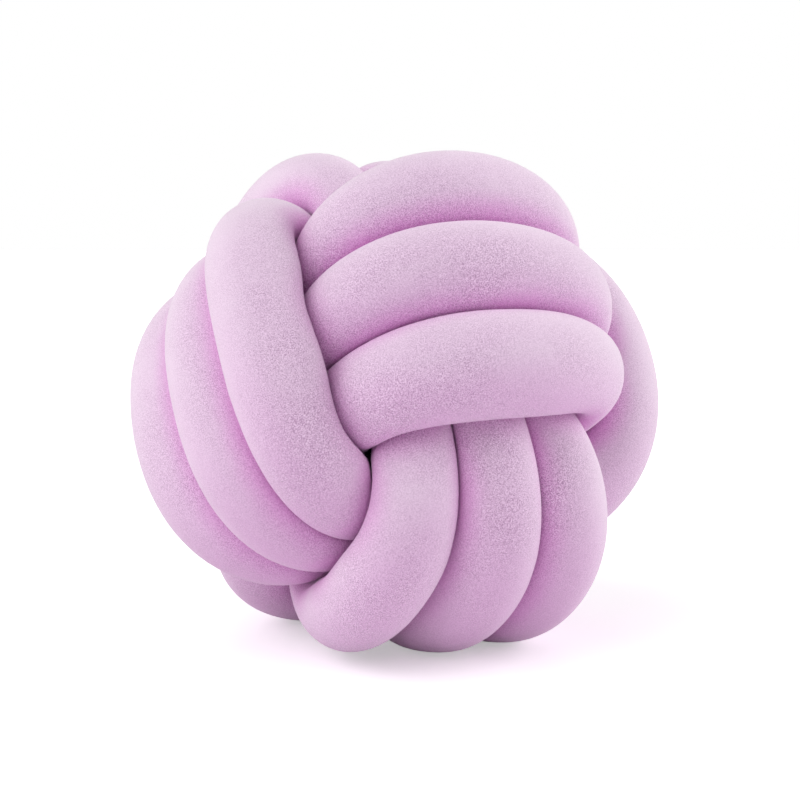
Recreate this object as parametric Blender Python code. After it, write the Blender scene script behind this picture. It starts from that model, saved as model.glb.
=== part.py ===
"""Ball cushion: one filled plush tube tied into a ball knot of three bundles, three turns each.

The tube's centre line is worked out turn by turn. Every ring of the tube is then squeezed by the
turns that press on it, and by the surface that the ball lies on.
"""
import math
from collections import namedtuple

import bmesh
import bpy
import numpy as np
from mathutils import Euler

MM = 0.001
OBJECT_NAME = "knot_cushion"
NODE_NAME = "knot_tube"

# --- The tube
TUBE_RADIUS = 25 * MM  # of a free stretch, where nothing presses on it
BULGE = 1.2  # how much further the side that faces the ball's middle may swell
BULGE_FROM = 0.6  # cosine, to the way out, at which a side starts to count as facing inwards
BULGE_RANGE = 0.75  # fall of that cosine over which the bulge comes in full
TURN_GAP = 2 * MM  # left between neighbouring turns, which press on each other
THINNEST = 5 * MM  # least distance from the centre line to the tube's side
END_LENGTH = 20 * MM  # over which a closed end rounds off
END_SHARE = 0.1  # of the squared radius that is left at the tip of a closed end
RINGS = 380
SIDES = 14

# --- How the ball lies
LIE_ANGLES = (174.4, -37.2, -55.9)  # degrees about X, Y and Z, from the knot's own axes
FLAT_DEPTH = 6 * MM  # how far the surface presses the lowest turn in

# --- How the turns are laid
STEPS_PER_SIDE = 40
TRIMMED = 0.12  # of a side, left off a bundle's first and last side, where the next stretch joins on
EVEN_PASSES = 6  # times that the centre line is averaged with its neighbours
OWN_STRETCH = 58 * MM  # nearer than this along the tube, nothing presses
LEAST_APART = 24 * MM  # between the centre lines of turns that lie against each other
SPREAD_PASSES = 12
SPREAD_EVENING = 12  # times that a sideways push is averaged along the tube
SETTLE_PASSES = 12
SWELL = 0.08  # share of the way to its free radius that a ring swells each pass
TINY = 0.01 * MM
LEVEL_ENOUGH = 0.001  # spokes that point down less steeply than this don't meet the floor

PLUSH_COLOUR = (0.60, 0.38, 0.62, 1.0)
PLUSH_ROUGHNESS = 0.9
PLUSH_SHEEN = 0.6

# A turn passes the four sides of its bundle in order. Each side gives, in mm, how far out from
# the ball's middle the centre line passes, how far across the bundle it lies, and how far the
# pass is shifted along its own way.
Side = namedtuple("Side", "out across along", defaults=(0,))
Turn = namedtuple("Turn", "near high far low")

# A bundle's corners follow a rounded square: squareness 2 gives an ellipse, more is squarer.
Bundle = namedtuple("Bundle", "axes signs squareness start turns")

ROUND_Z = Bundle(
    axes=(0, 1, 2),
    signs=(1, 1, 1),
    squareness=3.3,
    start=Side(70, -34),
    turns=(
        Turn(near=Side(108, -49, 1), high=Side(66, -34, -1), far=Side(107, -41, 2), low=Side(75, -7, 4)),
        Turn(near=Side(110, -5, 3), high=Side(76, 0, -2), far=Side(110, -3), low=Side(67, 18, -3)),
        Turn(near=Side(105, 43, 4), high=Side(66, 35, -1), far=Side(108, 47, -2), low=Side(76, 36)),
    ),
)
ROUND_X = Bundle(
    axes=(1, 2, 0),
    signs=(1, -1, -1),
    squareness=3.6,
    start=Side(78, -15, 1),
    turns=(
        Turn(near=Side(97, -62, 7), high=Side(79, -30, 6), far=Side(103, -52, -2), low=Side(75, 5, 15)),
        Turn(near=Side(103, -14, -6), high=Side(77, -4, 1), far=Side(102, -4, -1), low=Side(67, 29, 5)),
        Turn(near=Side(103, 35, 3), high=Side(81, 27, 5), far=Side(112, 44), low=Side(67, 35)),
    ),
)
ROUND_Y = Bundle(
    axes=(2, 0, 1),
    signs=(-1, 1, -1),
    squareness=3.0,
    start=Side(70, -37, 1),
    turns=(
        Turn(near=Side(116, -37, -6), high=Side(60, -30, -2), far=Side(103, -44, 6), low=Side(64, -14)),
        Turn(near=Side(110, 5), high=Side(72, -6, -2), far=Side(108, 10, 3), low=Side(76, 17)),
        Turn(near=Side(117, 41, -1), high=Side(73, 28, -2), far=Side(106, 50), low=Side(73, 43, -2)),
    ),
)

# Ways through the middle of the ball, in mm: the two tucked ends and the two changes of bundle.
FIRST_TUCK = ((10, 32, 8), (-16, 22, -8), (-31, 0, -22), (-20, -30, -28))
Z_TO_X = ((5, -33, 39), (38, -21, 41))
X_TO_Y = ((-49, 0, 39), (-55, 24, 16))
LAST_TUCK = ((-29, -22, 19), (-23, 2, 16), (11, 1, 24), (30, 0, 6))


def remove_old_objects():
    """Empty the scene."""
    for old in list(bpy.data.objects):
        bpy.data.objects.remove(old, do_unlink=True)


def side_points(bundle):
    """The centre line's point (u, v) on each side in turn, and how far across (w) it lies there."""
    sides = [bundle.start]
    for turn in bundle.turns:
        sides.extend(turn)
    points = []
    for number, side in enumerate(sides):
        low = (side.along, -side.out)
        near = (side.out, side.along)
        high = (side.along, side.out)
        far = (-side.out, side.along)
        points.append((*(low, near, high, far)[number % 4], side.across))
    return np.array(points, float) * MM


def eased(values, places):
    """A smooth curve through evenly spaced values, level at both ends."""
    slopes = np.zeros(len(values))
    slopes[1:-1] = (values[2:] - values[:-2]) / 2
    first = np.minimum(places.astype(int), len(values) - 2)
    f = places - first
    return (
        (2 * f**3 - 3 * f**2 + 1) * values[first]
        + (f**3 - 2 * f**2 + f) * slopes[first]
        + (3 * f**2 - 2 * f**3) * values[first + 1]
        + (f**3 - f**2) * slopes[first + 1]
    )


def bundle_line(bundle):
    """The centre line of a bundle's turns, with rounded-square corners between its sides."""
    points = side_points(bundle)
    count = STEPS_PER_SIDE * (len(points) - 1)
    places = np.linspace(TRIMMED, len(points) - 1 - TRIMMED, count)
    first = places.astype(int)
    angle = (places - first) * math.pi / 2
    rise = (np.sin(angle) ** (2 / bundle.squareness))[:, None]
    fall = (np.cos(angle) ** (2 / bundle.squareness))[:, None]
    start = points[first, :2]
    end = points[first + 1, :2]
    leaving = end + (start - end) * fall
    arriving = start + (end - start) * rise
    upright = (first % 2 == 1)[:, None]
    u_falls = np.hstack([leaving[:, :1], arriving[:, 1:]])
    v_falls = np.hstack([arriving[:, :1], leaving[:, 1:]])
    flat = np.where(upright, u_falls, v_falls)
    across = eased(points[:, 2], places)
    line = np.zeros((count, 3))
    for axis, sign, values in zip(bundle.axes, bundle.signs, (flat[:, 0], flat[:, 1], across)):
        line[:, axis] = sign * values
    return line


def smooth_way(points, count):
    """An even, smooth curve through a few points."""
    points = np.asarray(points, float)
    knots = np.concatenate([[0], np.cumsum(np.linalg.norm(np.diff(points, axis=0), axis=1) ** 0.5)])
    slopes = np.empty_like(points)
    slopes[1:-1] = (points[2:] - points[:-2]) / (knots[2:] - knots[:-2])[:, None]
    slopes[0] = (points[1] - points[0]) / (knots[1] - knots[0])
    slopes[-1] = (points[-1] - points[-2]) / (knots[-1] - knots[-2])
    places = np.linspace(0, knots[-1], count)
    first = np.clip(np.searchsorted(knots, places, side="right") - 1, 0, len(points) - 2)
    span = (knots[first + 1] - knots[first])[:, None]
    f = (places - knots[first])[:, None] / span
    return (
        (2 * f**3 - 3 * f**2 + 1) * points[first]
        + (f**3 - 2 * f**2 + f) * slopes[first] * span
        + (3 * f**2 - 2 * f**3) * points[first + 1]
        + (f**3 - f**2) * slopes[first + 1] * span
    )


def nearest(line, point):
    """The place along a line that is nearest to a point."""
    return int(np.argmin(np.linalg.norm(line - point, axis=1)))


def way_between(before, through, after):
    """The tube's way from the end of one bundle, through the middle of the ball, to the next."""
    lead = STEPS_PER_SIDE // 3
    points = [np.array(through, float) * MM]
    if before is not None:
        points.insert(0, before[[-1 - lead, -1]])
    if after is not None:
        points.append(after[[0, lead]])
    way = smooth_way(np.vstack(points), 3 * STEPS_PER_SIDE)
    first = 0 if before is None else nearest(way, before[-1]) + 1
    last = len(way) if after is None else nearest(way, after[0])
    return way[first:last]


def lengths_along(line):
    """How far along the line each of its points is."""
    return np.concatenate([[0], np.cumsum(np.linalg.norm(np.diff(line, axis=0), axis=1))])


def evenly_spaced(line, count):
    """The line again, as points the same distance apart."""
    lengths = lengths_along(line)
    places = np.linspace(0, lengths[-1], count)
    return np.stack([np.interp(places, lengths, line[:, axis]) for axis in range(3)], 1)


def averaged(values, passes):
    """Values along the tube, averaged with their neighbours. The two ends stay."""
    values = values.copy()
    for _ in range(passes):
        values[1:-1] = 0.5 * values[1:-1] + 0.25 * (values[:-2] + values[2:])
    return values


def spread(line):
    """The line again, with turns that come too near each other eased apart."""
    lengths = lengths_along(line)
    other_turn = np.abs(lengths[:, None] - lengths[None, :]) > OWN_STRETCH
    for _ in range(SPREAD_PASSES):
        away = line[:, None, :] - line[None, :, :]
        apart = np.linalg.norm(away, axis=2)
        short = np.where(other_turn, np.maximum(LEAST_APART - apart, 0), 0)
        pushed = np.maximum(np.count_nonzero(short, axis=1), 1)[:, None]
        push = (away * (short / np.maximum(apart, MM))[:, :, None]).sum(1) / pushed
        line = line + averaged(push, SPREAD_EVENING)
    return line


def knot_line(count):
    """The whole tube's centre line, from one tucked end to the other."""
    bundles = [bundle_line(bundle) for bundle in (ROUND_Z, ROUND_X, ROUND_Y)]
    parts = [
        way_between(None, FIRST_TUCK, bundles[0]),
        bundles[0],
        way_between(bundles[0], Z_TO_X, bundles[1]),
        bundles[1],
        way_between(bundles[1], X_TO_Y, bundles[2]),
        bundles[2],
        way_between(bundles[2], LAST_TUCK, None),
    ]
    line = averaged(evenly_spaced(np.vstack(parts), count), EVEN_PASSES)
    return evenly_spaced(spread(line), count)


def spokes(line, sides):
    """Directions from each point of the line to the sides of its ring, with no twist between rings."""
    along = np.gradient(line, axis=0)
    along /= np.linalg.norm(along, axis=1)[:, None]
    across = np.zeros_like(line)
    across[0] = np.cross(along[0], (0, 0, 1))
    across[0] /= np.linalg.norm(across[0])
    for ring in range(1, len(line)):
        turned = across[ring - 1] - along[ring] * (across[ring - 1] @ along[ring])
        across[ring] = turned / np.linalg.norm(turned)
    outward = np.cross(along, across)
    angles = np.arange(sides) * 2 * math.pi / sides
    cosines = np.cos(angles)[None, :, None]
    sines = np.sin(angles)[None, :, None]
    return cosines * across[:, None, :] + sines * outward[:, None, :]


def free_radii(line, directions):
    """How far each spoke reaches where nothing presses. The ball's middle is at the origin."""
    outward = line / np.linalg.norm(line, axis=1)[:, None]
    facing = (directions * outward[:, None, :]).sum(2)
    bulging = np.clip((BULGE_FROM - facing) / BULGE_RANGE, 0, 1)
    return TUBE_RADIUS * (1 + (BULGE - 1) * bulging)


def pressed_by_turns(line, directions, free):
    """How far each spoke reaches before it meets the turns that lie against it."""
    others = np.empty((2 * len(line) - 1, 3))
    others[::2] = line
    others[1::2] = (line[1:] + line[:-1]) / 2
    lengths = lengths_along(others)
    limits = free.copy()
    for ring, point in enumerate(line):
        towards = others[np.abs(lengths - lengths[2 * ring]) > OWN_STRETCH] - point
        squared = (towards**2).sum(1)
        close = squared < (2 * free.max() + TURN_GAP) ** 2
        if not close.any():
            continue
        facing = directions[ring] @ towards[close].T + TURN_GAP
        halfway = (squared[close] - TURN_GAP**2) / (2 * np.maximum(facing, TINY))
        limits[ring] = np.minimum(limits[ring], np.maximum(halfway.min(1), THINNEST))
    return limits


def pressed_by_floor(line, directions):
    """How far each spoke reaches before it meets the surface below, at z = 0."""
    down = np.maximum(-directions[:, :, 2], LEVEL_ENOUGH)
    return line[:, 2:3] / down


def rounded_ends(line):
    """How far the tube's sides stand out near its closed ends."""
    lengths = lengths_along(line)
    from_end = np.minimum(lengths, lengths[-1] - lengths)
    share = np.clip(from_end / END_LENGTH, 0, 1)
    return TUBE_RADIUS * np.sqrt(np.maximum(1 - (1 - share) ** 2, END_SHARE))[:, None]


def settled(limits, free):
    """Radii that swell and even out as far as what presses on the tube lets them."""
    radii = limits.copy()
    for _ in range(SETTLE_PASSES):
        evened = 0.5 * radii + 0.25 * (np.roll(radii, 1, axis=1) + np.roll(radii, -1, axis=1))
        before = np.vstack([evened[:1], evened[:-1]])
        after = np.vstack([evened[1:], evened[-1:]])
        evened = 0.5 * evened + 0.25 * (before + after)
        radii = np.minimum(limits, evened + SWELL * (free - evened))
    return radii


def tube_rings():
    """The points of every ring of the tube as the ball lies, as rings by sides by three.

    The tube settles with twice as many spokes as it has sides, and every other spoke is kept.
    """
    turn = np.array(Euler([math.radians(angle) for angle in LIE_ANGLES], "XYZ").to_matrix())
    line = knot_line(RINGS) @ turn.T
    directions = spokes(line, 2 * SIDES)
    free = free_radii(line, directions)
    limits = np.minimum(pressed_by_turns(line, directions, free), rounded_ends(line))
    hanging = line[:, None, :] + directions * settled(limits, free)[:, :, None]
    line[:, 2] -= hanging[:, :, 2].min() + FLAT_DEPTH
    limits = np.minimum(limits, pressed_by_floor(line, directions))
    rings = line[:, None, :] + directions * settled(limits, free)[:, :, None]
    rings = rings[:, ::2]
    middle = (rings.max((0, 1)) + rings.min((0, 1))) / 2
    rings[:, :, :2] -= middle[:2]
    rings[:, :, 2] = np.where(rings[:, :, 2] < TINY, 0, rings[:, :, 2])
    return rings


def loft(rings):
    """A closed tube through rings, with a fan over each end."""
    mesh = bmesh.new()
    rows = [[mesh.verts.new(point) for point in ring] for ring in rings]
    sides = len(rows[0])
    for row, following in zip(rows, rows[1:]):
        for side in range(sides):
            beside = (side + 1) % sides
            mesh.faces.new((row[side], row[beside], following[beside], following[side]))
    for row, points in ((rows[0], rings[0]), (rows[-1], rings[-1])):
        tip = mesh.verts.new(points.mean(0))
        for side in range(sides):
            mesh.faces.new((row[side], row[(side + 1) % sides], tip))
    bmesh.ops.recalc_face_normals(mesh, faces=mesh.faces)
    if mesh.calc_volume(signed=True) < 0:
        bmesh.ops.reverse_faces(mesh, faces=mesh.faces)
    return mesh


def plush_material():
    """Short-pile lilac plush."""
    material = bpy.data.materials.new("lilac_plush")
    material.use_nodes = True
    shader = material.node_tree.nodes["Principled BSDF"]
    shader.inputs["Base Color"].default_value = PLUSH_COLOUR
    shader.inputs["Roughness"].default_value = PLUSH_ROUGHNESS
    shader.inputs["Metallic"].default_value = 0.0
    shader.inputs["Sheen Weight"].default_value = PLUSH_SHEEN
    material.diffuse_color = PLUSH_COLOUR
    return material


def build_knot():
    """The tied tube, as one object in the cushion's collection."""
    group = bpy.data.collections.new(OBJECT_NAME)
    bpy.context.scene.collection.children.link(group)
    data = bpy.data.meshes.new(NODE_NAME)
    shape = loft(tube_rings())
    shape.to_mesh(data)
    shape.free()
    data.materials.append(plush_material())
    data.shade_smooth()
    knot = bpy.data.objects.new(NODE_NAME, data)
    group.objects.link(knot)
    return knot


remove_old_objects()
build_knot()
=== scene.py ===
"""Lilac plush ball knot cushion: one long stuffed tube, tied three turns each way.

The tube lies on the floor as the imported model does. Its centre line is laid turn by turn. Its
plush skin is pressed in by the neighbouring turns and the floor, and the stuffing then pushes it
out a little, as a simulated cloth.
"""
import math
from collections import namedtuple

import bmesh
import bpy
import numpy as np
from bpy.props import FloatProperty, FloatVectorProperty, IntProperty, PointerProperty
from mathutils import Euler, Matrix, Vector, noise


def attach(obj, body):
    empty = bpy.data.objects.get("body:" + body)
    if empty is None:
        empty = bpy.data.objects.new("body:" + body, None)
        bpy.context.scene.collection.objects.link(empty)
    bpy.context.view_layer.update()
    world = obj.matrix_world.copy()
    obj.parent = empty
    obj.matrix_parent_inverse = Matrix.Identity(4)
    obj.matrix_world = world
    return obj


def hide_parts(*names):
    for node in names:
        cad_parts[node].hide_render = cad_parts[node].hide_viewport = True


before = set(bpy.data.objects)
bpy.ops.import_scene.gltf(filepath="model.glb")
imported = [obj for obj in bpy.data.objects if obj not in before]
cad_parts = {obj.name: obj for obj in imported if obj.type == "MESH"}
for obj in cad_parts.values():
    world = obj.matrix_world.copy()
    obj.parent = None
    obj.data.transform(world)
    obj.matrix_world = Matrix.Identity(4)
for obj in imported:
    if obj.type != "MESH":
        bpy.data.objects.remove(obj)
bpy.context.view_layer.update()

bl_info = {
    "name": "Plush Knot Cushion",
    "version": (1, 0, 0),
    "blender": (4, 5, 0),
    "location": "3D View > Sidebar > Knot Cushion",
    "description": "A ball cushion tied from one stuffed plush tube, with its floor, lights and camera",
    "category": "Add Mesh",
}

MM = 0.001
NODE = "knot_tube"

# --- The tube's route
ROUTE_RINGS = 380
STEPS_PER_SIDE = 40
TRIMMED = 0.12  # of a side, left off a bundle's first and last side, where the next stretch joins on
WAY_STEPS = 3 * STEPS_PER_SIDE  # of a way through the middle of the ball
LEAD_STEPS = STEPS_PER_SIDE // 3  # of a bundle's line, from its end to the point that leads a way on
EVEN_PASSES = 6  # times that the centre line is evened out along its way
OWN_STRETCH = 58 * MM  # nearer than this along the tube, nothing presses
LEAST_APART = 24 * MM  # between the centre lines of turns that lie against each other
SPREAD_PASSES = 12
SPREAD_EVENING = 12  # times that a sideways push is evened out along the tube

# --- The tube's stuffing
BULGE_FROM = 0.6  # cosine, to the way out, at which a side starts to count as facing inwards
BULGE_RANGE = 0.75  # fall of that cosine over which the bulge comes in full
THINNEST = 5 * MM  # least distance from the centre line to the tube's side
END_LENGTH = 20 * MM  # over which a closed end rounds off
END_SHARE = 0.1  # of the squared radius that is left at the tip of a closed end
CREASE_LAYER = "crease_depth"
CREASE_WIDTH = 15 * MM  # how much further off the next turn is where its crease ends
CORNER_WIDTH = 12 * MM  # how much further off both other bundles are where a corner ends
FAR_OFF = 90 * MM  # beyond which other turns aren't looked for
LOOK_STEP = 4  # other turns are looked at in steps of this many rings
SIM_RINGS = 900  # of the coarser skin that the stuffing pushes on
SIM_SIDES = 36
SIM_FRAMES = 20
TINY = 0.01 * MM  # least length that anything is divided by
LEVEL_ENOUGH = 0.001  # spokes that point down less steeply than this don't meet the floor

# --- How the ball lies
LIE_ANGLES = (174.4, -37.2, -55.9)  # degrees about X, Y and Z, from the knot's own axes
FLAT_DEPTH = 6 * MM  # how far the surface presses the lowest turns in

# A turn passes the four sides of its bundle in order. Each side gives, in mm, how far out from
# the ball's middle the centre line passes, how far across the bundle it lies, and how far the
# pass is shifted along its own way.
Side = namedtuple("Side", "out across along", defaults=(0,))
Turn = namedtuple("Turn", "near high far low")

# A bundle's corners follow a rounded square: squareness 2 gives an ellipse, more is squarer.
Bundle = namedtuple("Bundle", "axes signs squareness start turns")

ROUND_Z = Bundle(
    axes=(0, 1, 2),
    signs=(1, 1, 1),
    squareness=3.3,
    start=Side(70, -34),
    turns=(
        Turn(near=Side(108, -49, 1), high=Side(66, -34, -1), far=Side(107, -41, 2), low=Side(75, -7, 4)),
        Turn(near=Side(110, -5, 3), high=Side(76, 0, -2), far=Side(110, -3), low=Side(67, 18, -3)),
        Turn(near=Side(105, 43, 4), high=Side(66, 35, -1), far=Side(108, 47, -2), low=Side(76, 36)),
    ),
)
ROUND_X = Bundle(
    axes=(1, 2, 0),
    signs=(1, -1, -1),
    squareness=3.6,
    start=Side(78, -15, 1),
    turns=(
        Turn(near=Side(97, -62, 7), high=Side(79, -30, 6), far=Side(103, -52, -2), low=Side(75, 5, 15)),
        Turn(near=Side(103, -14, -6), high=Side(77, -4, 1), far=Side(102, -4, -1), low=Side(67, 29, 5)),
        Turn(near=Side(103, 35, 3), high=Side(81, 27, 5), far=Side(112, 44), low=Side(67, 35)),
    ),
)
ROUND_Y = Bundle(
    axes=(2, 0, 1),
    signs=(-1, 1, -1),
    squareness=3.0,
    start=Side(70, -37, 1),
    turns=(
        Turn(near=Side(116, -37, -6), high=Side(60, -30, -2), far=Side(103, -44, 6), low=Side(64, -14)),
        Turn(near=Side(110, 5), high=Side(72, -6, -2), far=Side(108, 10, 3), low=Side(76, 17)),
        Turn(near=Side(117, 41, -1), high=Side(73, 28, -2), far=Side(106, 50), low=Side(73, 43, -2)),
    ),
)

# Ways through the middle of the ball, in mm: the two tucked ends and the two changes of bundle.
FIRST_TUCK = ((10, 32, 8), (-16, 22, -8), (-31, 0, -22), (-20, -30, -28))
Z_TO_X = ((5, -33, 39), (38, -21, 41))
X_TO_Y = ((-49, 0, 39), (-55, 24, 16))
LAST_TUCK = ((-29, -22, 19), (-23, 2, 16), (11, 1, 24), (30, 0, 6))

# --- The plush's pile
Grain = namedtuple("Grain", "size detail roughness")
PATCHES = Grain(size=55 * MM, detail=3, roughness=0.55)
TUFTS = Grain(size=4.5 * MM, detail=2, roughness=0.5)
TIPS = Grain(size=0.5 * MM, detail=2, roughness=0.9)
Relief = namedtuple("Relief", "strength height")
TUFT_RELIEF = Relief(strength=0.25, height=0.9 * MM)
TIP_RELIEF = Relief(strength=0.35, height=0.4 * MM)
# Two numbers each: the value at which an effect starts, and the one at which it is in full
BRUSHED = (0.35, 0.65)  # of the patches
ROOTS_SHOW = (0.5, 0.4)  # of the tips
TIPS_SHOW = (0.5, 0.6)  # of the tips
# Painted shade on sides that face down, from where it starts to where it is full
BENEATH = (0.3, -0.8)  # of how far up the pile faces
# Painted pale sheen where the surface turns away from the view
RIM = (0.1, 0.9)  # of how far the pile turns away
RIM_BENEATH = (0.2, -0.8)  # of how far up the pile faces, where it pales less
RIM_LEFT_IN_CREASE = 0.3  # share of the rim
RIM_LEFT_BENEATH = 0.5  # share of the rim
TUFT_SPAN = (0.3, 0.7)  # least and most of the tufts
TUFT_ROUGHNESS = (0.85, 0.98)  # from the least to the most of them
PILE_GLOSS = 0.15

# --- Floor, light and camera
MOTTLE = Grain(size=400 * MM, detail=3, roughness=0.5)
MOTTLE_SPAN = (0.3, 0.7)
MOTTLE_SHARE = 0.25  # of the paler floor colour
PALER = 1.03  # times the floor's colour
FLOOR_ROUGHNESS = 0.85
WHITE = (1, 1, 1, 1)
LIGHT_ANGLE = math.radians(60)  # how wide a soft light is, seen from the ball
# Where the soft lights shine from. Only the direction counts
KEY_PLACE = (-1.1, -0.9, 1.4)
LEFT_PLACE = (-1.9, 0.35, 0.4)
RIGHT_PLACE = (1.9, 0.35, 0.4)
SENSOR_WIDTH = 36  # mm


# ---------------------------------------------------------------- the tube's centre line
def side_points(bundle):
    """The centre line's point (u, v) on each side in turn, and how far across (w) it lies there."""
    sides = [bundle.start]
    for turn in bundle.turns:
        sides.extend(turn)
    points = []
    for number, side in enumerate(sides):
        low = (side.along, -side.out)
        near = (side.out, side.along)
        high = (side.along, side.out)
        far = (-side.out, side.along)
        points.append((*(low, near, high, far)[number % 4], side.across))
    return np.array(points, float) * MM


def curved(values, slopes, first, share, span):
    """Points on smooth curves: each lies a share of a span on from its first value."""
    return (
        (2 * share**3 - 3 * share**2 + 1) * values[first]
        + (share**3 - 2 * share**2 + share) * slopes[first] * span
        + (3 * share**2 - 2 * share**3) * values[first + 1]
        + (share**3 - share**2) * slopes[first + 1] * span
    )


def eased(values, places):
    """A smooth curve through evenly spaced values, level at both ends."""
    slopes = np.zeros_like(values)
    slopes[1:-1] = (values[2:] - values[:-2]) / 2
    first = np.minimum(places.astype(int), len(values) - 2)
    share = (places - first).reshape((-1,) + (1,) * (values.ndim - 1))
    return curved(values, slopes, first, share, 1)


def bundle_line(bundle):
    """The centre line of a bundle's turns, with rounded-square corners between its sides."""
    points = side_points(bundle)
    count = STEPS_PER_SIDE * (len(points) - 1)
    places = np.linspace(TRIMMED, len(points) - 1 - TRIMMED, count)
    first = places.astype(int)
    angle = (places - first) * math.pi / 2
    rise = (np.sin(angle) ** (2 / bundle.squareness))[:, None]
    fall = (np.cos(angle) ** (2 / bundle.squareness))[:, None]
    start = points[first, :2]
    end = points[first + 1, :2]
    leaving = end + (start - end) * fall
    arriving = start + (end - start) * rise
    upright = (first % 2 == 1)[:, None]
    u_falls = np.hstack([leaving[:, :1], arriving[:, 1:]])
    v_falls = np.hstack([arriving[:, :1], leaving[:, 1:]])
    flat = np.where(upright, u_falls, v_falls)
    across = eased(points[:, 2], places)
    line = np.zeros((count, 3))
    for axis, sign, values in zip(bundle.axes, bundle.signs, (flat[:, 0], flat[:, 1], across)):
        line[:, axis] = sign * values
    return line


def smooth_way(points, count):
    """An even, smooth curve through a few points."""
    points = np.asarray(points, float)
    knots = np.concatenate([[0], np.cumsum(np.linalg.norm(np.diff(points, axis=0), axis=1) ** 0.5)])
    slopes = np.empty_like(points)
    slopes[1:-1] = (points[2:] - points[:-2]) / (knots[2:] - knots[:-2])[:, None]
    slopes[0] = (points[1] - points[0]) / (knots[1] - knots[0])
    slopes[-1] = (points[-1] - points[-2]) / (knots[-1] - knots[-2])
    places = np.linspace(0, knots[-1], count)
    first = np.clip(np.searchsorted(knots, places, side="right") - 1, 0, len(points) - 2)
    span = (knots[first + 1] - knots[first])[:, None]
    share = (places - knots[first])[:, None] / span
    return curved(points, slopes, first, share, span)


def nearest(line, point):
    """The place along a line that is nearest to a point."""
    return int(np.argmin(np.linalg.norm(line - point, axis=1)))


def way_between(before, through, after):
    """The tube's way from the end of one bundle, through the middle of the ball, to the next."""
    points = [np.array(through, float) * MM]
    if before is not None:
        points.insert(0, before[[-1 - LEAD_STEPS, -1]])
    if after is not None:
        points.append(after[[0, LEAD_STEPS]])
    way = smooth_way(np.vstack(points), WAY_STEPS)
    first = 0 if before is None else nearest(way, before[-1]) + 1
    last = len(way) if after is None else nearest(way, after[0])
    return way[first:last]


def lengths_along(line):
    """How far along the line each of its points is."""
    return np.concatenate([[0], np.cumsum(np.linalg.norm(np.diff(line, axis=0), axis=1))])


def evenly_spaced(line, count):
    """The line again, as points the same distance apart."""
    lengths = lengths_along(line)
    places = np.linspace(0, lengths[-1], count)
    return np.stack([np.interp(places, lengths, line[:, axis]) for axis in range(3)], 1)


def averaged(before, values, after):
    """Values, averaged with the ones before and after them."""
    return 0.5 * values + 0.25 * (before + after)


def evened(values, passes):
    """Values along the tube, evened out with their neighbours. The two ends stay."""
    values = values.copy()
    for _ in range(passes):
        values[1:-1] = averaged(values[:-2], values[1:-1], values[2:])
    return values


def spread(line):
    """The line again, with turns that come too near each other eased apart."""
    lengths = lengths_along(line)
    other_turn = np.abs(lengths[:, None] - lengths[None, :]) > OWN_STRETCH
    for _ in range(SPREAD_PASSES):
        away = line[:, None, :] - line[None, :, :]
        apart = np.linalg.norm(away, axis=2)
        short = np.where(other_turn, np.maximum(LEAST_APART - apart, 0), 0)
        pushed = np.maximum(np.count_nonzero(short, axis=1), 1)[:, None]
        push = (away * (short / np.maximum(apart, MM))[:, :, None]).sum(1) / pushed
        line = line + evened(push, SPREAD_EVENING)
    return line


def knot_line():
    """The whole tube's centre line, turned to how the ball lies, and where along it bundles change.

    It runs from one tucked end to the other.
    """
    bundles = [bundle_line(bundle) for bundle in (ROUND_Z, ROUND_X, ROUND_Y)]
    parts = [
        way_between(None, FIRST_TUCK, bundles[0]),
        bundles[0],
        way_between(bundles[0], Z_TO_X, bundles[1]),
        bundles[1],
        way_between(bundles[1], X_TO_Y, bundles[2]),
        bundles[2],
        way_between(bundles[2], LAST_TUCK, None),
    ]
    lengths = lengths_along(np.vstack(parts))
    ends = np.cumsum([len(part) for part in parts])
    changes = [lengths[(ends[part - 1] + ends[part]) // 2] / lengths[-1] for part in (2, 4)]
    line = evened(evenly_spaced(np.vstack(parts), ROUTE_RINGS), EVEN_PASSES)
    line = evenly_spaced(spread(line), ROUTE_RINGS)
    turn = np.array(Euler([math.radians(angle) for angle in LIE_ANGLES], "XYZ").to_matrix())
    return line @ turn.T, changes


# ---------------------------------------------------------------- the tube's skin
def spokes(line, sides):
    """Directions from each point of the line to the sides of its ring, with no twist between rings."""
    along = np.gradient(line, axis=0)
    along /= np.linalg.norm(along, axis=1)[:, None]
    across = np.zeros_like(line)
    across[0] = np.cross(along[0], (0, 0, 1))
    across[0] /= np.linalg.norm(across[0])
    for ring in range(1, len(line)):
        turned = across[ring - 1] - along[ring] * (across[ring - 1] @ along[ring])
        across[ring] = turned / np.linalg.norm(turned)
    outward = np.cross(along, across)
    angles = np.arange(sides) * 2 * math.pi / sides
    cosines = np.cos(angles)[None, :, None]
    sines = np.sin(angles)[None, :, None]
    return cosines * across[:, None, :] + sines * outward[:, None, :]


def lumps(line, directions, radius, height, length):
    """How much the stuffing lifts each spoke: soft, slow lumps along and round the tube."""
    lifts = np.empty(directions.shape[:2])
    for ring, point in enumerate(line):
        for side, direction in enumerate(directions[ring]):
            lifts[ring, side] = noise.noise(Vector((point + direction * radius) / length))
    return lifts * height


def free_radii(line, directions, radius, bulge):
    """How far each spoke reaches where nothing presses. The ball's middle is at the origin."""
    outward = line / np.linalg.norm(line, axis=1)[:, None]
    facing = (directions * outward[:, None, :]).sum(2)
    bulging = np.clip((BULGE_FROM - facing) / BULGE_RANGE, 0, 1)
    return radius * (1 + (bulge - 1) * bulging)


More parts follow.
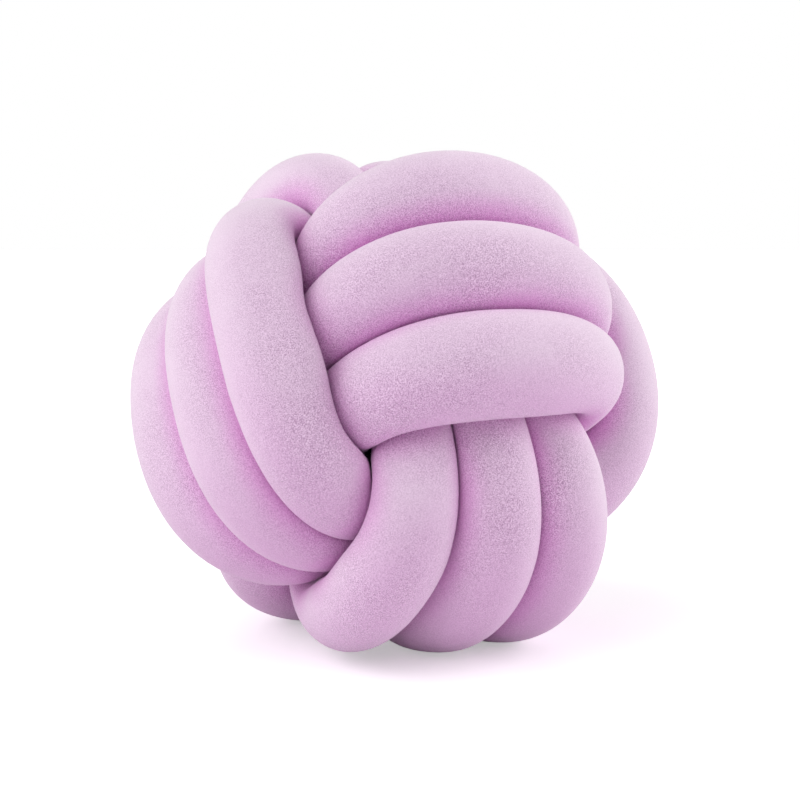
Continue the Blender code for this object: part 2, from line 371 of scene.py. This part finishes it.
def pressed_by_turns(line, directions, free, gap):
    """How far each spoke reaches before it meets the turns that lie against it.

    The other turns are looked at on the line's points and halfway between them.
    """
    others = np.empty((2 * len(line) - 1, 3))
    others[::2] = line
    others[1::2] = (line[1:] + line[:-1]) / 2
    lengths = lengths_along(others)
    limits = free.copy()
    for ring, point in enumerate(line):
        towards = others[np.abs(lengths - lengths[2 * ring]) > OWN_STRETCH] - point
        squared = (towards**2).sum(1)
        close = squared < (2 * free.max() + gap) ** 2
        if not close.any():
            continue
        facing = directions[ring] @ towards[close].T + gap
        halfway = (squared[close] - gap**2) / (2 * np.maximum(facing, TINY))
        limits[ring] = np.minimum(limits[ring], np.maximum(halfway.min(1), THINNEST))
    return limits


def pressed_by_floor(line, directions):
    """How far each spoke reaches before it meets the surface below, at z = 0."""
    down = np.maximum(-directions[:, :, 2], LEVEL_ENOUGH)
    return line[:, 2:3] / down


def rounded_ends(line, radius):
    """How far the tube's sides stand out near its closed ends."""
    lengths = lengths_along(line)
    from_end = np.minimum(lengths, lengths[-1] - lengths)
    share = np.clip(from_end / END_LENGTH, 0, 1)
    return radius * np.sqrt(np.maximum(1 - (1 - share) ** 2, END_SHARE))[:, None]


def settled(limits, free, tube):
    """Radii that swell and even out as far as what presses on the tube lets them."""
    radii = limits.copy()
    for _ in range(tube.passes):
        even = averaged(np.roll(radii, 1, axis=1), radii, np.roll(radii, -1, axis=1))
        for _ in range(tube.tightness):
            before = np.vstack([even[:1], even[:-1]])
            after = np.vstack([even[1:], even[-1:]])
            even = averaged(before, even, after)
        radii = np.minimum(limits, even + tube.swell * (free - even))
    return radii


def further_off(line, skin, wanted):
    """How much further than its own turn the nearest wanted turn is, for each point of the skin.

    Wanted says, for each ring, which of the other rings that are looked at count.
    """
    others = line[::LOOK_STEP].copy()
    further = np.full(skin.shape[:2], FAR_OFF)
    for ring, point in enumerate(line):
        close = wanted[ring] & (((others - point) ** 2).sum(1) < FAR_OFF**2)
        if close.any():
            apart = np.linalg.norm(skin[ring][:, None, :] - others[close][None, :, :], axis=2)
            further[ring] = apart.min(1) - np.linalg.norm(skin[ring] - point, axis=1)
    return further


def closeness(further, width):
    """From 0, where other turns are further off by a width or more, to 1 against them."""
    share = np.clip(1 - further / width, 0, 1)
    return share**2 * (3 - 2 * share)


def crease_depths(line, skin):
    """How deep in a crease each point of the skin lies, from 0 in the open to 1 against a turn."""
    lengths = lengths_along(line)
    other_turn = np.abs(lengths[None, ::LOOK_STEP] - lengths[:, None]) > OWN_STRETCH
    return closeness(further_off(line, skin, other_turn), CREASE_WIDTH)


def corner_depths(line, skin, bundles):
    """How near each point of the skin lies to a corner, where all three bundles meet."""
    looked_at = bundles[None, ::LOOK_STEP]
    to_next = further_off(line, skin, looked_at == (bundles[:, None] + 1) % 3)
    to_last = further_off(line, skin, looked_at == (bundles[:, None] + 2) % 3)
    return closeness(np.maximum(to_next, to_last), CORNER_WIDTH)


def ends_of(line, directions, radii):
    """Where spokes of these lengths end."""
    return line[:, None, :] + directions * radii[:, :, None]


def pressed_skin(tube, rings, sides):
    """The centre line as the ball lies, its spokes, how far they reach and how far they may reach."""
    line, shares = knot_line()
    line = eased(line, np.linspace(0, ROUTE_RINGS - 1, rings))
    bundles = np.searchsorted(shares, np.linspace(0, 1, rings))
    directions = spokes(line, sides)
    free = free_radii(line, directions, tube.radius, tube.bulge)
    free += lumps(line, directions, tube.radius, tube.lump_height, tube.lump_length)
    free += tube.corner_swell * corner_depths(line, ends_of(line, directions, free), bundles)
    turns = pressed_by_turns(line, directions, free, tube.crease_gap)
    limits = np.minimum(turns, rounded_ends(line, tube.radius))
    hanging = ends_of(line, directions, settled(limits, free, tube))
    line[:, 2] -= hanging[:, :, 2].min() + FLAT_DEPTH
    limits = np.minimum(limits, pressed_by_floor(line, directions))
    return line, directions, settled(limits, free, tube), limits


def stuffed_points(skin, pressure):
    """Where a skin's points lie once the stuffing has pushed on it for a while."""
    cloth = skin.modifiers.new("stuffing", "CLOTH")
    cloth.settings.use_pressure = True
    cloth.settings.uniform_pressure_force = pressure
    cloth.settings.effector_weights.gravity = 0
    cloth.collision_settings.use_collision = False
    for frame in range(1, SIM_FRAMES + 1):
        bpy.context.scene.frame_set(frame)
    after = skin.evaluated_get(bpy.context.evaluated_depsgraph_get()).data
    points = np.empty(3 * len(after.vertices))
    after.vertices.foreach_get("co", points)
    return points.reshape(-1, 3)


def pushed_out(tube):
    """How far the stuffing moves each spoke of a coarser skin, which is made for this and removed."""
    line, directions, radii, _ = pressed_skin(tube, SIM_RINGS, SIM_SIDES)
    rings = ends_of(line, directions, radii)
    skin = add_object("skin_before", loft(rings, np.zeros_like(radii)))
    points = stuffed_points(skin, tube.pressure)
    data = skin.data
    bpy.data.objects.remove(skin)
    bpy.data.meshes.remove(data)
    bpy.context.scene.frame_set(1)
    moved = (points[: radii.size].reshape(rings.shape) - rings) * directions
    return np.clip(moved.sum(2), -tube.most_in, tube.most_out)


def on_finer_grid(values, rings, sides):
    """Values along and round the tube, on a grid with more rings and sides.

    The last side is put before the first, and the first two after the last, to close the curve.
    """
    along = eased(values, np.linspace(0, len(values) - 1, rings)).T
    closed = np.vstack([along[-1:], along, along[:2]])
    return eased(closed, 1 + np.arange(sides) * len(along) / sides).T


def skin_rings(tube):
    """The centre line as the ball lies, and every ring of the plush skin round it."""
    line, directions, radii, limits = pressed_skin(tube, tube.rings, tube.sides)
    radii = np.minimum(limits, radii + on_finer_grid(pushed_out(tube), tube.rings, tube.sides))
    rings = ends_of(line, directions, radii)
    middle = (rings.max((0, 1)) + rings.min((0, 1))) / 2
    middle[2] = 0
    rings[:, :, 2] = np.maximum(rings[:, :, 2], 0)
    return line - middle, rings - middle


def loft(rings, depths):
    """A closed tube through rings, with a fan over each end, that knows how deep its creases are."""
    mesh = bmesh.new()
    layer = mesh.verts.layers.float.new(CREASE_LAYER)
    rows = [[mesh.verts.new(point) for point in ring] for ring in rings]
    for row, values in zip(rows, depths):
        for point, value in zip(row, values):
            point[layer] = value
    sides = len(rows[0])
    for row, following in zip(rows, rows[1:]):
        for side in range(sides):
            beside = (side + 1) % sides
            mesh.faces.new((row[side], row[beside], following[beside], following[side]))
    for row, points in ((rows[0], rings[0]), (rows[-1], rings[-1])):
        tip = mesh.verts.new(points.mean(0))
        for side in range(sides):
            mesh.faces.new((row[side], row[(side + 1) % sides], tip))
    bmesh.ops.recalc_face_normals(mesh, faces=mesh.faces)
    if mesh.calc_volume(signed=True) < 0:
        bmesh.ops.reverse_faces(mesh, faces=mesh.faces)
    return mesh


def add_object(name, shape):
    """A new object of this shape, in the scene."""
    data = bpy.data.meshes.new(name)
    shape.to_mesh(data)
    shape.free()
    thing = bpy.data.objects.new(name, data)
    bpy.context.scene.collection.objects.link(thing)
    return thing


# ---------------------------------------------------------------- the plush and the floor
def shader_of(material):
    """A new material's own shader."""
    material.use_nodes = True
    return material.node_tree.nodes["Principled BSDF"]


def add_noise(tree, grain, where):
    """A noise pattern with grains of about a size, on the object's own coordinates."""
    pattern = tree.nodes.new("ShaderNodeTexNoise")
    pattern.inputs["Scale"].default_value = 1 / grain.size
    pattern.inputs["Detail"].default_value = grain.detail
    pattern.inputs["Roughness"].default_value = grain.roughness
    tree.links.new(where.outputs["Object"], pattern.inputs["Vector"])
    return pattern.outputs["Fac"]


def add_bump(tree, pattern, relief):
    """A bump that raises the surface by a pattern."""
    bump = tree.nodes.new("ShaderNodeBump")
    bump.inputs["Strength"].default_value = relief.strength
    bump.inputs["Distance"].default_value = relief.height
    tree.links.new(pattern, bump.inputs["Height"])
    return bump


def add_range(tree, value, span, to_span):
    """A value, brought from one span to another and held within it."""
    spreading = tree.nodes.new("ShaderNodeMapRange")
    for name, number in zip(("From Min", "From Max", "To Min", "To Max"), (*span, *to_span)):
        spreading.inputs[name].default_value = number
    tree.links.new(value, spreading.inputs["Value"])
    return spreading.outputs["Result"]


def add_product(tree, first, second):
    """Two values, multiplied."""
    product = tree.nodes.new("ShaderNodeMath")
    product.operation = "MULTIPLY"
    tree.links.new(first, product.inputs[0])
    tree.links.new(second, product.inputs[1])
    return product.outputs["Value"]


def add_mix(tree, factor, first, second):
    """Two colours, mixed by a factor. Each is a socket or a plain colour."""
    mix = tree.nodes.new("ShaderNodeMix")
    mix.data_type = "RGBA"
    tree.links.new(factor, mix.inputs["Factor"])
    for socket, colour in ((mix.inputs["A"], first), (mix.inputs["B"], second)):
        if isinstance(colour, bpy.types.NodeSocket):
            tree.links.new(colour, socket)
        else:
            socket.default_value = (*colour, 1)
    return mix.outputs["Result"]


def raise_pile(tree, shader, tufts, tips):
    """Lets tufts and tips stand up from the surface, and tufts vary its roughness."""
    tuft_bump = add_bump(tree, tufts, TUFT_RELIEF)
    tip_bump = add_bump(tree, tips, TIP_RELIEF)
    tree.links.new(tuft_bump.outputs["Normal"], tip_bump.inputs["Normal"])
    tree.links.new(tip_bump.outputs["Normal"], shader.inputs["Normal"])
    roughness = add_range(tree, tufts, TUFT_SPAN, TUFT_ROUGHNESS)
    tree.links.new(roughness, shader.inputs["Roughness"])


def colour_pile(tree, plush, patches, crease, up):
    """The pile's colour before its grain: brushed in patches, with painted shade in creases and beneath.
    """
    brushed = add_range(tree, patches, BRUSHED, (0, 1))
    colour = add_mix(tree, brushed, plush.colour, plush.brushed_colour)
    # Painted shade: the crease colour is mixed in where other turns press close and shade falls
    deep = add_range(tree, crease, (0, 1), (0, plush.crease_shade_share))
    colour = add_mix(tree, deep, colour, plush.crease_shade_colour)
    # Painted shade: a darker, more saturated colour mixed in where the pile faces down
    beneath = add_range(tree, up, BENEATH, (0, plush.underside_shade_share))
    return add_mix(tree, beneath, colour, plush.underside_shade_colour)


def add_grain(tree, plush, colour, patches, tips):
    """The colour with roots and lit tips of the pile, fainter where it is brushed flat."""
    raised = add_range(tree, patches, BRUSHED, (1, plush.brushed_grain))
    between = add_product(tree, add_range(tree, tips, ROOTS_SHOW, (0, 1)), raised)
    colour = add_mix(tree, between, colour, plush.root_colour)
    lit = add_product(tree, add_range(tree, tips, TIPS_SHOW, (0, 1)), raised)
    return add_mix(tree, lit, colour, plush.tip_colour)


def add_rim(tree, plush, colour, crease, up):
    """The colour with a painted sheen, pale where the surface turns from view, fainter in creases and
    beneath.
    """
    turning = tree.nodes.new("ShaderNodeLayerWeight")
    rim = add_range(tree, turning.outputs["Facing"], RIM, (0, plush.painted_sheen_share))
    rim = add_product(tree, rim, add_range(tree, crease, (0, 1), (1, RIM_LEFT_IN_CREASE)))
    rim = add_product(tree, rim, add_range(tree, up, RIM_BENEATH, (1, RIM_LEFT_BENEATH)))
    return add_mix(tree, rim, colour, plush.painted_sheen_colour)


def plush_material(plush):
    """Short-pile lilac plush, deep at its roots; painted shade in creases and beneath, painted pale rim
    sheen.
    """
    material = bpy.data.materials.new("lilac_plush")
    shader = shader_of(material)
    tree = material.node_tree
    where = tree.nodes.new("ShaderNodeTexCoord")
    patches = add_noise(tree, PATCHES, where)
    tufts = add_noise(tree, TUFTS, where)
    tips = add_noise(tree, TIPS, where)
    creases = tree.nodes.new("ShaderNodeAttribute")
    creases.attribute_name = CREASE_LAYER
    crease = creases.outputs["Fac"]
    facing = tree.nodes.new("ShaderNodeSeparateXYZ")
    tree.links.new(where.outputs["Normal"], facing.inputs["Vector"])
    up = facing.outputs["Z"]

    raise_pile(tree, shader, tufts, tips)
    colour = colour_pile(tree, plush, patches, crease, up)
    colour = add_grain(tree, plush, colour, patches, tips)
    colour = add_rim(tree, plush, colour, crease, up)
    tree.links.new(colour, shader.inputs["Base Color"])

    shader.inputs["Sheen Weight"].default_value = plush.sheen
    shader.inputs["Sheen Roughness"].default_value = plush.sheen_roughness
    shader.inputs["Sheen Tint"].default_value = (*plush.sheen_colour, 1)
    shader.inputs["Specular IOR Level"].default_value = PILE_GLOSS
    return material


def floor_material(stage):
    """Plain pale matte floor, which looks a little brighter to the camera than the light makes it."""
    material = bpy.data.materials.new("pale_floor")
    shader = shader_of(material)
    tree = material.node_tree
    where = tree.nodes.new("ShaderNodeTexCoord")
    mottle = add_range(tree, add_noise(tree, MOTTLE, where), MOTTLE_SPAN, (0, MOTTLE_SHARE))
    paler = [min(1, channel * PALER) for channel in stage.floor_colour]
    tree.links.new(add_mix(tree, mottle, stage.floor_colour, paler), shader.inputs["Base Color"])
    shader.inputs["Roughness"].default_value = FLOOR_ROUGHNESS
    path = tree.nodes.new("ShaderNodeLightPath")
    glow = add_range(tree, path.outputs["Is Camera Ray"], (0, 1), (0, stage.floor_glow))
    tree.links.new(glow, shader.inputs["Emission Strength"])
    shader.inputs["Emission Color"].default_value = WHITE
    return material


# ---------------------------------------------------------------- the lights and the camera
def add_soft_light(name, place, strength):
    """A wide, soft light that shines from a direction onto the ball and the whole floor alike."""
    light = bpy.data.lights.new(name, "SUN")
    light.energy = strength
    light.angle = LIGHT_ANGLE
    lamp = bpy.data.objects.new(name, light)
    lamp.location = place
    lamp.rotation_euler = (-Vector(place)).to_track_quat("-Z", "Y").to_euler()
    bpy.context.scene.collection.objects.link(lamp)


def add_surround(stage):
    """A white backdrop that gives only a little light by itself."""
    world = bpy.data.worlds.new("surround")
    bpy.context.scene.world = world
    world.use_nodes = True
    tree = world.node_tree
    sky = tree.nodes["Background"]
    sky.inputs["Color"].default_value = WHITE
    sky.inputs["Strength"].default_value = stage.sky_strength
    backdrop = tree.nodes.new("ShaderNodeBackground")
    backdrop.inputs["Color"].default_value = WHITE
    backdrop.inputs["Strength"].default_value = stage.backdrop_strength
    path = tree.nodes.new("ShaderNodeLightPath")
    either = tree.nodes.new("ShaderNodeMixShader")
    tree.links.new(path.outputs["Is Camera Ray"], either.inputs["Fac"])
    tree.links.new(sky.outputs["Background"], either.inputs[1])
    tree.links.new(backdrop.outputs["Background"], either.inputs[2])
    tree.links.new(either.outputs["Shader"], tree.nodes["World Output"].inputs["Surface"])


def add_camera(stage):
    """The camera, at the photograph's viewing angle."""
    view = bpy.data.cameras.new("camera")
    view.sensor_width = SENSOR_WIDTH
    view.lens = stage.lens
    camera = bpy.data.objects.new("camera", view)
    rise = stage.camera_height
    back = Vector((0, -math.cos(rise), math.sin(rise)))
    camera.location = Vector(stage.camera_aim) + back * stage.camera_distance
    camera.rotation_euler = (math.pi / 2 - rise, 0, 0)
    bpy.context.scene.collection.objects.link(camera)
    bpy.context.scene.camera = camera


# ---------------------------------------------------------------- settings
class KnotTubeSettings(bpy.types.PropertyGroup):
    """Sizes of the stuffed tube."""

    radius: FloatProperty(
        name="Tube radius", description="Of a free stretch, where nothing presses on it",
        default=25 * MM, min=15 * MM, max=40 * MM, unit="LENGTH",
    )
    bulge: FloatProperty(
        name="Bulge", description="How much further the side towards the ball's middle may swell",
        default=1.2, min=1, max=1.5, subtype="FACTOR",
    )
    corner_swell: FloatProperty(
        name="Corner swell", description="How much further the tube may swell where all bundles meet",
        default=20 * MM, min=0, max=30 * MM, unit="LENGTH",
    )
    crease_gap: FloatProperty(
        name="Crease gap", description="Left between neighbouring turns",
        default=0.6 * MM, min=0.1 * MM, max=3 * MM, unit="LENGTH",
    )
    lump_height: FloatProperty(
        name="Lump height", description="How far the stuffing's lumps lift the skin",
        default=1.2 * MM, min=0, max=4 * MM, unit="LENGTH",
    )
    lump_length: FloatProperty(
        name="Lump length", description="Size of the stuffing's lumps",
        default=48 * MM, min=10 * MM, max=200 * MM, unit="LENGTH",
    )
    swell: FloatProperty(
        name="Swell", description="Share of the way to its free radius that a ring swells each pass",
        default=0.017, min=0, max=0.2, subtype="FACTOR",
    )
    passes: IntProperty(
        name="Settling passes", description="Times that the skin evens out", default=56, min=1,
    )
    tightness: IntProperty(
        name="Tightness", description="Times in each pass that the skin evens out along the tube",
        default=3, min=1,
    )
    pressure: FloatProperty(
        name="Pressure", description="Of the stuffing on the skin", default=4, min=0,
    )
    most_out: FloatProperty(
        name="Most out", description="How far the stuffing may push the skin out",
        default=3 * MM, min=0, max=10 * MM, unit="LENGTH",
    )
    most_in: FloatProperty(
        name="Most in", description="How far the skin may be drawn in where it's tight",
        default=0.3 * MM, min=0, max=10 * MM, unit="LENGTH",
    )
    rings: IntProperty(name="Rings", description="Rings of faces along the tube", default=1500, min=380)
    sides: IntProperty(name="Sides", description="Faces round the tube", default=60, min=12)


class PlushSettings(bpy.types.PropertyGroup):
    """Colours and finish of the plush."""

    colour: FloatVectorProperty(
        name="Plush colour", description="Of the pile as a whole",
        default=(0.69, 0.475, 0.665), min=0, max=1, subtype="COLOR",
    )
    brushed_colour: FloatVectorProperty(
        name="Brushed colour", description="Of patches where the pile is brushed the other way",
        default=(0.765, 0.58, 0.745), min=0, max=1, subtype="COLOR",
    )
    brushed_grain: FloatProperty(
        name="Brushed grain", description="How much roots and tips show where the pile is brushed flat",
        default=0.35, min=0, max=1, subtype="FACTOR",
    )
    root_colour: FloatVectorProperty(
        name="Root colour", description="Between the tips of the pile",
        default=(0.45, 0.25, 0.43), min=0, max=1, subtype="COLOR",
    )
    # Painted shade: a deeper, more saturated colour painted into the creases, where shade falls
    crease_shade_colour: FloatVectorProperty(
        name="Crease colour", description="Of pile pressed deep in a crease",
        default=(0.76, 0.30, 0.69), min=0, max=1, subtype="COLOR",
    )
    # Painted shade: a darker, more saturated colour painted where the pile faces down
    underside_shade_colour: FloatVectorProperty(
        name="Beneath colour", description="Of pile that faces down",
        default=(0.76, 0.27, 0.71), min=0, max=1, subtype="COLOR",
    )
    tip_colour: FloatVectorProperty(
        name="Tip colour", description="Of the lit tips of the pile",
        default=(0.93, 0.73, 0.915), min=0, max=1, subtype="COLOR",
    )
    # Painted sheen: the pale colour painted where the surface turns away from the view
    painted_sheen_colour: FloatVectorProperty(
        name="Rim colour", description="Of pile that is seen from its side",
        default=(0.90, 0.79, 0.87), min=0, max=1, subtype="COLOR",
    )
    # Share of the painted sheen at the rim
    painted_sheen_share: FloatProperty(
        name="Rim", description="How far the pile takes the rim colour where it turns away",
        default=0.55, min=0, max=1, subtype="FACTOR",
    )
    # Share of the painted shade where the pile faces down
    underside_shade_share: FloatProperty(
        name="Beneath", description="How far the pile takes the beneath colour where it faces down",
        default=0.6, min=0, max=1, subtype="FACTOR",
    )
    # Share of the painted shade deep in a crease
    crease_shade_share: FloatProperty(
        name="Crease depth", description="How far the pile takes the crease colour deep in a crease",
        default=0.8, min=0, max=1, subtype="FACTOR",
    )
    sheen: FloatProperty(
        name="Sheen", description="How much the pile shines at a glancing angle",
        default=0.3, min=0, max=1, subtype="FACTOR",
    )
    sheen_roughness: FloatProperty(
        name="Sheen roughness", description="How wide the sheen spreads",
        default=0.45, min=0, max=1, subtype="FACTOR",
    )
    sheen_colour: FloatVectorProperty(
        name="Sheen colour", description="Of the light that the pile's tips catch",
        default=(0.96, 0.90, 0.97), min=0, max=1, subtype="COLOR",
    )


class KnotStageSettings(bpy.types.PropertyGroup):
    """Floor, light and camera."""

    floor_colour: FloatVectorProperty(
        name="Floor colour", description="Of the pale floor",
        default=(0.88, 0.88, 0.88), min=0, max=1, subtype="COLOR",
    )
    floor_glow: FloatProperty(
        name="Floor glow", description="How much brighter the floor looks to the camera",
        default=0.4, min=0,
    )
    floor_size: FloatProperty(
        name="Floor size", description="Side of the square floor", default=40, min=1, unit="LENGTH",
    )
    sky_strength: FloatProperty(
        name="Surround light", description="White light from all round", default=0.39, min=0,
    )
    backdrop_strength: FloatProperty(
        name="Backdrop", description="How bright the surround looks behind the ball",
        default=1.0, min=0,
    )
    key_strength: FloatProperty(
        name="Key light", description="Of the wide light from high up in front, on the left",
        default=1.65, min=0,
    )
    left_strength: FloatProperty(
        name="Left light", description="Of the wide light low on the left", default=0.75, min=0,
    )
    right_strength: FloatProperty(
        name="Right light", description="Of the wide light low on the right", default=2.5, min=0,
    )
    camera_aim: FloatVectorProperty(
        name="Camera aim", description="Point at the middle of the picture, from where the ball rests",
        default=(1.1 * MM, 0, 122.9 * MM), unit="LENGTH", subtype="TRANSLATION",
    )
    camera_distance: FloatProperty(
        name="Camera distance", description="From the point that it aims at",
        default=0.803, min=0.3, unit="LENGTH",
    )
    camera_height: FloatProperty(
        name="Camera height angle", description="Of the camera above the horizon, from the ball",
        default=math.radians(6), unit="ROTATION",
    )
    lens: FloatProperty(name="Lens", description="Focal length in mm", default=70.7, min=20, max=200)


# ---------------------------------------------------------------- operators
class KNOT_OT_add_tube(bpy.types.Operator):
    """Lay the stuffed plush tube in its three bundles of turns"""

    bl_idname = "knot.add_tube"
    bl_label = "Add Knotted Tube"

    def execute(self, context):
        scene = context.scene
        line, rings = skin_rings(scene.knot_tube)
        tube = add_object("plush_tube", loft(rings, crease_depths(line, rings)))
        tube.data.shade_smooth()
        tube.data.materials.append(plush_material(scene.knot_plush))
        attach(tube, "root")
        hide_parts(NODE)
        return {"FINISHED"}


class KNOT_OT_add_stage(bpy.types.Operator):
    """Add the pale floor, the soft lights and the camera"""

    bl_idname = "knot.add_stage"
    bl_label = "Add Stage"

    def execute(self, context):
        stage = context.scene.knot_stage
        shape = bmesh.new()
        bmesh.ops.create_grid(shape, x_segments=1, y_segments=1, size=stage.floor_size / 2)
        floor = add_object("floor", shape)
        floor.data.materials.append(floor_material(stage))

        add_surround(stage)
        add_soft_light("key_light", KEY_PLACE, stage.key_strength)
        add_soft_light("left_light", LEFT_PLACE, stage.left_strength)
        add_soft_light("right_light", RIGHT_PLACE, stage.right_strength)
        add_camera(stage)
        context.scene.view_settings.view_transform = "Standard"
        return {"FINISHED"}


class KNOT_PT_cushion(bpy.types.Panel):
    """Sizes, colours and buttons of the knot cushion"""

    bl_label = "Knot Cushion"
    bl_idname = "KNOT_PT_cushion"
    bl_space_type = "VIEW_3D"
    bl_region_type = "UI"
    bl_category = "Knot Cushion"

    def draw(self, context):
        for group, operator in (
            (context.scene.knot_tube, KNOT_OT_add_tube),
            (context.scene.knot_plush, None),
            (context.scene.knot_stage, KNOT_OT_add_stage),
        ):
            box = self.layout.box()
            for name in group.bl_rna.properties.keys():
                if name not in ("rna_type", "name"):
                    box.prop(group, name)
            if operator:
                box.operator(operator.bl_idname)


CLASSES = (
    KnotTubeSettings,
    PlushSettings,
    KnotStageSettings,
    KNOT_OT_add_tube,
    KNOT_OT_add_stage,
    KNOT_PT_cushion,
)


def register():
    """Makes the settings, buttons and panel known to Blender."""
    for item in CLASSES:
        bpy.utils.register_class(item)
    bpy.types.Scene.knot_tube = PointerProperty(type=KnotTubeSettings)
    bpy.types.Scene.knot_plush = PointerProperty(type=PlushSettings)
    bpy.types.Scene.knot_stage = PointerProperty(type=KnotStageSettings)


def unregister():
    """Takes the settings, buttons and panel out again."""
    del bpy.types.Scene.knot_stage
    del bpy.types.Scene.knot_plush
    del bpy.types.Scene.knot_tube
    for item in reversed(CLASSES):
        bpy.utils.unregister_class(item)


def main():
    """Builds the cushion and its stage."""
    register()
    bpy.ops.knot.add_tube()
    bpy.ops.knot.add_stage()


if __name__ == "__main__":
    main()
